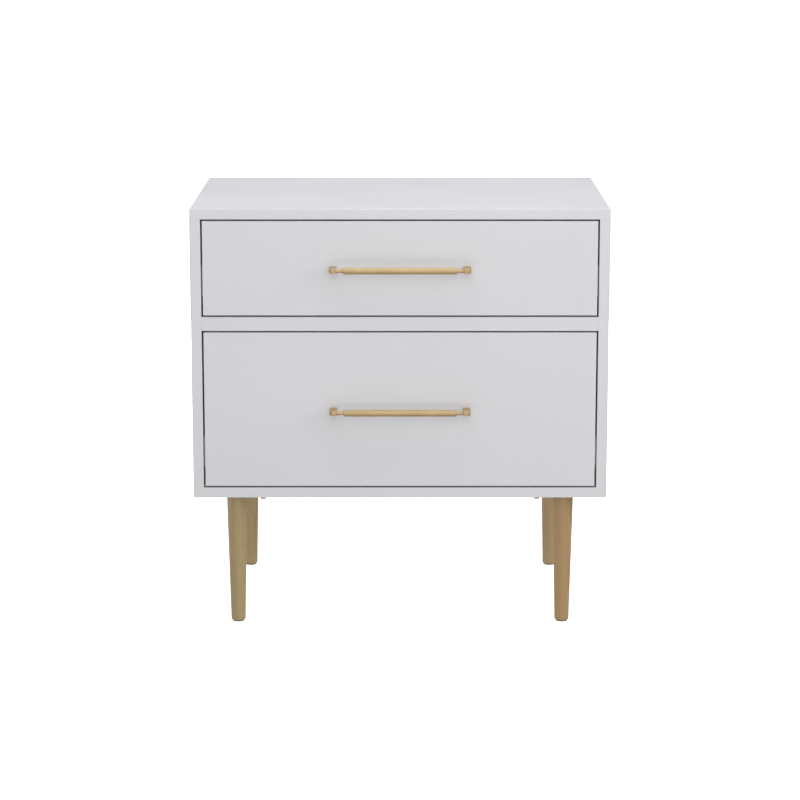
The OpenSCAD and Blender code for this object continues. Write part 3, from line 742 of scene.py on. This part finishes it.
X, Y, Z = range(3)
round_rims("leg_plate_screws", "_pressed", Z, WIDE_HEAD_RIM)
round_rims("bottom_panel_screws", "_pressed", Z, HEAD_RIM)
round_rims("foot_glides", "_moulded", Z, GLIDE_RIM)
round_rims("slide_case_screws", "_pressed", X, HEAD_RIM)
for bay in ("upper", "lower"):
    round_rims(bay + "_slide_drawer_screws", "_pressed", X, HEAD_RIM)
    round_rims(bay + "_drawer_box_screws", "_pressed", X, SUNK_HEAD_RIM)
    round_rims(bay + "_drawer_cam_locks", "_cast", X, CAM_RIM)
    round_rims(bay + "_handle_screws", "_pressed", Y, WIDE_HEAD_RIM)

# %% [markdown]
# ## Leg plates
#
# The plates are stamped from sheet steel, which leaves a slightly rounded outline.

# %% Ease the leg plates
PLATE_EDGE = 0.35 * MM
LYING = 0.9
UPRIGHT = 0.1
plate_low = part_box("leg_plates")[0]


def on_plate_outline(edge):
    underside = all(abs(vert.co.z - plate_low.z) < TOUCH for vert in edge.verts)
    flat = any(abs(face.normal.z) > LYING for face in edge.link_faces)
    upright = any(abs(face.normal.z) < UPRIGHT for face in edge.link_faces)
    return underside and flat and upright


bm = merged_copy("leg_plates")
eased = ease(bm, PLATE_EDGE, on_plate_outline, segments=2)
print(make_piece(bm, "leg_plates_stamped", "leg_plates").name, "edges eased:", eased)

# %% [markdown]
# ## Parts that keep their shape
#
# Dowels and bolts sit inside the wood and never show, so their CAD nodes stay and only get their
# finish. The case's cam locks stay too. Their flat ends lie flush in the inner faces of the case,
# where they can be seen once a drawer is out.

# %% Finish the parts that stay as they are
PLAIN_NODES = ["case_dowels", "case_cam_bolts", "case_cam_locks", "leg_hanger_bolts",
                "upper_drawer_cam_bolts", "lower_drawer_cam_bolts"]

for node_name in PLAIN_NODES:
    finish = finish_of_slot[slot_of_node[node_name]]
    for place_for_finish in frame["nodes"][node_name].material_slots:
        place_for_finish.material = finish
    print(node_name, "->", finish.name)

# %% [markdown]
# ## Floor, light and view
#
# Furniture is often shown on a floor that is lit until it is pure white, so there is no horizon and
# hardly a shadow. Here the floor glows by itself, only the camera sees it, and from below it is
# clear, so that the underside can be looked at. The world is white for the camera. For everything
# else it is dim above and brighter below, like the light that a white floor throws back. Soft lamps
# do the rest: one straight above, one far in front, one near and high, one to the right, one low on
# the left and one low behind, and a wide low strip in front that throws the handles' faint shadows
# upwards.

# %% Set up the studio
FLOOR_HALF = 60.0
LIGHT_ABOVE = 0.25
LIGHT_BELOW = 0.53
HORIZON = 0.2
STRIP_DISTANCE = 1.05
WHITE = (1, 1, 1)

# Each lamp has a size, a place, an aim, its watts and its colour.
LAMPS = {
    "near_key": ((1.8, 1.0), (0, -1.0, 1.45), (0, -0.1, 0.45), 2.5, WHITE),
    "overhead": ((2.0, 2.0), (0, 0, 2.2), (0, 0, 0.5), 26.5, (0.975, 0.98, 1)),
    "far_front": ((2.0, 1.6), (0, -3.0, 1.3), (0, 0, 0.45), 20, WHITE),
    "right_fill": ((1.2, 1.2), (2.0, -1.0, 1.3), (0, 0, 0.4), 15, (1, 0.974, 0.985)),
    "left_fill": ((1.4, 0.5), (-2.4, 0.6, 0.33), (0, 0.2, 0.35), 9, WHITE),
    "back_fill": ((2.0, 0.5), (0, 2.6, 0.33), (0, 0, 0.35), 14, WHITE),
    "low_strip": ((1.5, 0.25), (0, case_front_y - STRIP_DISTANCE, 0.10), (0, case_front_y, 0.40),
                  1.3, WHITE)}


def add_area(name, size, place_at, aim_at, power, colour):
    light = bpy.data.lights.new(name, "AREA")
    light.shape = "RECTANGLE"
    light.size, light.size_y = size
    light.energy = power
    light.color = colour
    lamp = bpy.data.objects.new(name, light)
    lamp.location = place_at
    lamp.rotation_euler = (Vector(aim_at) - Vector(place_at)).to_track_quat("-Z", "Y").to_euler()
    lamp.visible_camera = False
    bpy.context.collection.objects.link(lamp)


floor_finish, floor_tree, floor_shader = start_finish("studio_floor", Roughness=0.9, Emission_Strength=1.0,
                                                      Base_Color=(0.8, 0.8, 0.8, 1),
                                                      Emission_Color=(1, 1, 1, 1), Specular_IOR_Level=0)
seen_from_below = floor_tree.nodes.new("ShaderNodeNewGeometry").outputs["Backfacing"]
clear = node(floor_tree, "ShaderNodeBsdfTransparent", {})
one_sided = node(floor_tree, "ShaderNodeMixShader",
                 {0: seen_from_below, 1: floor_shader.outputs[0], 2: clear})
floor_tree.links.new(one_sided, floor_tree.nodes["Material Output"].inputs["Surface"])
floor_bm = bmesh.new()
bmesh.ops.create_grid(floor_bm, x_segments=1, y_segments=1, size=FLOOR_HALF)
floor_mesh = bpy.data.meshes.new("studio_floor")
floor_bm.to_mesh(floor_mesh)
floor_bm.free()
floor_mesh.materials.append(floor_finish)
floor = bpy.data.objects.new("studio_floor", floor_mesh)
floor.visible_diffuse = False
floor.visible_glossy = False
floor.visible_transmission = False
floor.visible_shadow = False
bpy.context.collection.objects.link(floor)
floor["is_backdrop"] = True
print("floor:", 2 * FLOOR_HALF, "m wide")

# %% Set up the light
world = bpy.data.worlds.new("studio")
world.use_nodes = True
sky = world.node_tree
direction = sky.nodes.new("ShaderNodeTexCoord").outputs["Generated"]
separate = sky.nodes.new("ShaderNodeSeparateXYZ")
sky.links.new(direction, separate.inputs["Vector"])
brightness = between(sky, separate.outputs["Z"], LIGHT_BELOW, LIGHT_ABOVE, -HORIZON, HORIZON)
camera_sees = sky.nodes.new("ShaderNodeLightPath").outputs["Is Camera Ray"]
strength = node(sky, "ShaderNodeMath", {0: brightness, 1: camera_sees}, operation="MAXIMUM")
sky.links.new(strength, sky.nodes["Background"].inputs["Strength"])
sky.nodes["Background"].inputs["Color"].default_value = (1, 1, 1, 1)
bpy.context.scene.world = world

for name, settings in LAMPS.items():
    add_area(name, *settings)
bpy.context.scene.view_settings.view_transform = "Standard"
print("lights:", ", ".join(LAMPS))

# %% [markdown]
# ## Measure and finish
#
# Both boxes are printed: that of the CAD parts and that of the finished pieces. The finished
# pieces have to stay inside the box of the CAD parts.

# %% Write the two boxes and finish
low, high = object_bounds()
boxes = {"cad": [list(cad_low), list(cad_high)], "visual": [list(low), list(high)]}
print("boxes:", boxes)
